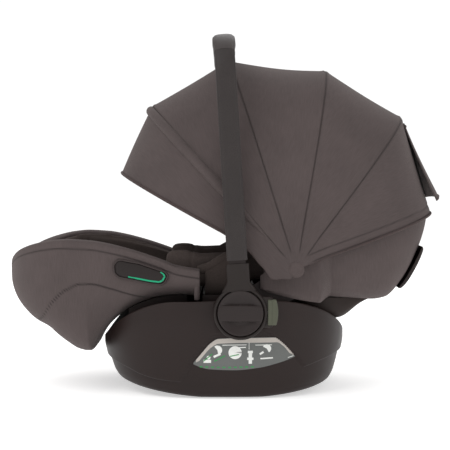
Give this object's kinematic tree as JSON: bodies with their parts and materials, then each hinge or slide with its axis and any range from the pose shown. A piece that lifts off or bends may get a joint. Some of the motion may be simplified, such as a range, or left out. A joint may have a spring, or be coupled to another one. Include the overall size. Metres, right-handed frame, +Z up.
{
  "type": "infant car seat",
  "caption": "Rearward-facing infant car seat with a rocker base, a lie-flat seat, a folding hood with a visor and a carry handle that swings over it.",
  "frame": {"origin": "On the floor under the middle of the seat, centred on the overall length and width.", "axes": "+X towards the head end, +Y across the seat, +Z up."},
  "size_m": [0.7246, 0.44, 0.5813],
  "materials": {
    "shell_plastic": "fine-grained moulded plastic",
    "hub_plastic": "satin moulded plastic",
    "hidden_plastic": "matte moulded plastic",
    "outer_fabric": "tight heathered weave",
    "liner_fabric": "soft brushed knit",
    "handle_leather": "matte leatherette wrap",
    "webbing": "ribbed harness webbing",
    "foam": "expanded foam beads",
    "steel": "zinc-plated",
    "button_green": "satin grey-green plastic",
    "route_green": "bright belt-route marking",
    "buckle_red": "red release button",
    "plate_grey": "printed rating plate",
    "window_mesh": "open black mesh"
  },
  "bodies": {
    "base": {"base_shell": "shell_plastic", "anchor_bars": "steel", "adapter_sockets": "hidden_plastic", "label_plates": "plate_grey", "seat_pan": "hidden_plastic", "pan_screws": "steel", "hub_pins": "steel", "mid_liner": "liner_fabric", "crotch_strap": "webbing", "crotch_pad": "liner_fabric", "buckle": "hidden_plastic", "buckle_tongues": "steel", "hip_straps": "webbing"},
    "buckle_press": {"buckle_button": "buckle_red"},
    "handle": {"handle_core": "steel", "arm_covers": "handle_leather", "grip_cover": "handle_leather", "arm_sleeves": "hub_plastic", "hub_housings": "hub_plastic", "hub_discs": "hub_plastic", "button_springs": "steel"},
    "handle_button_left": {"release_button_left": "button_green"},
    "handle_button_right": {"release_button_right": "button_green"},
    "back": {"side_plates": "steel", "back_shell": "hidden_plastic", "back_cover": "outer_fabric", "back_foam": "foam", "back_liner": "liner_fabric", "canopy_pins": "steel", "bow_rear": "hidden_plastic", "panel_hood_rear": "outer_fabric", "panel_fixed": "outer_fabric", "rear_mesh": "window_mesh", "rear_guide": "shell_plastic", "shoulder_straps": "webbing", "shoulder_pads": "liner_fabric"},
    "flap": {"rear_flap": "outer_fabric"},
    "lever": {"recline_lever": "shell_plastic"},
    "headrest": {"headrest_shell": "hidden_plastic", "headrest_pad": "liner_fabric"},
    "hood_back": {"bow_back": "hidden_plastic", "panel_back": "outer_fabric"},
    "hood_middle": {"bow_middle": "hidden_plastic", "panel_middle": "outer_fabric"},
    "hood_front": {"bow_front": "hidden_plastic"},
    "hood_visor": {"visor_bow": "hidden_plastic", "panel_visor": "outer_fabric"},
    "leg": {"leg_shell": "hidden_plastic", "leg_cover": "outer_fabric", "leg_foam": "foam", "leg_liner": "liner_fabric", "leg_runners": "hidden_plastic", "guide_pods": "hub_plastic", "guide_inlays": "route_green", "adjuster_housing": "hidden_plastic", "adjuster_strap": "webbing"},
    "door_left": {"guide_door_left": "hub_plastic"},
    "door_right": {"guide_door_right": "hub_plastic"},
    "adjuster": {"adjuster_button": "hidden_plastic"}
  },
  "joints": [
    {"name": "handle_swing", "type": "hinge", "parent": "base", "child": "handle", "pos_m": [0.024, 0, 0.142], "axis": [0, 1, 0], "range_deg": [0, 95]},
    {"name": "release_left", "type": "slide", "parent": "handle", "child": "handle_button_left", "axis": [-1, 0, 0], "range_m": [0, 0.003], "stiffness_N_per_m": 2000, "springref_m": -0.002, "deforming": ["button_springs"]},
    {"name": "release_right", "type": "slide", "parent": "handle", "child": "handle_button_right", "axis": [-1, 0, 0], "range_m": [0, 0.003], "stiffness_N_per_m": 2000, "springref_m": -0.002, "deforming": ["button_springs"]},
    {"name": "recline", "type": "hinge", "parent": "base", "child": "back", "pos_m": [0.024, 0, 0.142], "axis": [0, -1, 0], "range_deg": [0, 20]},
    {"name": "leg_tilt", "type": "hinge", "parent": "base", "child": "leg", "pos_m": [-0.074, 0, 0], "axis": [0, -1, 0], "range_deg": [0, 8]},
    {"name": "headrest_slide", "type": "slide", "parent": "back", "child": "headrest", "axis": [1, 0, 0], "range_m": [0, 0.025]},
    {"name": "hood_back_fold", "type": "hinge", "parent": "back", "child": "hood_back", "pos_m": [0.112, 0, 0.208], "axis": [0, 1, 0], "range_deg": [0, 20], "deforming": ["panel_fixed", "panel_back"]},
    {"name": "hood_middle_fold", "type": "hinge", "parent": "hood_back", "child": "hood_middle", "pos_m": [0.112, 0, 0.208], "axis": [0, 1, 0], "range_deg": [0, 20], "deforming": ["panel_middle"]},
    {"name": "hood_front_fold", "type": "hinge", "parent": "hood_middle", "child": "hood_front", "pos_m": [0.112, 0, 0.208], "axis": [0, 1, 0], "range_deg": [0, 17], "deforming": ["panel_visor"]},
    {"name": "visor_fold", "type": "hinge", "parent": "hood_front", "child": "hood_visor", "pos_m": [0.112, 0, 0.208], "axis": [0, 1, 0], "range_deg": [0, 13]},
    {"name": "window_flap", "type": "hinge", "parent": "back", "child": "flap", "pos_m": [0.30772, 0, 0.44969], "axis": [0, -1, 0], "range_deg": [0, 100]},
    {"name": "lever_pull", "type": "hinge", "parent": "back", "child": "lever", "pos_m": [0.2903, 0, 0.1735], "axis": [0, 1, 0], "range_deg": [0, 12], "stiffness_Nm_per_rad": 4, "springref_deg": -17.19},
    {"name": "buckle_push", "type": "slide", "parent": "base", "child": "buckle_press", "axis": [0, 0, -1], "range_m": [0, 0.003], "stiffness_N_per_m": 2500, "springref_m": -0.002},
    {"name": "guide_left", "type": "hinge", "parent": "leg", "child": "door_left", "pos_m": [-0.1745, -0.1772, 0.207], "axis": [0, 0, -1], "range_deg": [0, 60]},
    {"name": "guide_right", "type": "hinge", "parent": "leg", "child": "door_right", "pos_m": [-0.1745, 0.1772, 0.207], "axis": [0, 0, 1], "range_deg": [0, 60]},
    {"name": "adjuster_push", "type": "slide", "parent": "leg", "child": "adjuster", "axis": [0, 0, -1], "range_m": [0, 0.002], "stiffness_N_per_m": 2500, "springref_m": -0.002}
  ],
  "couplings": [
    {"joint": "leg_tilt", "follows": "recline", "ratio": 0.4},
    {"joint": "hood_middle_fold", "follows": "hood_back_fold", "ratio": 1},
    {"joint": "hood_front_fold", "follows": "hood_back_fold", "ratio": 0.85},
    {"joint": "visor_fold", "follows": "hood_back_fold", "ratio": 0.65}
  ]
}
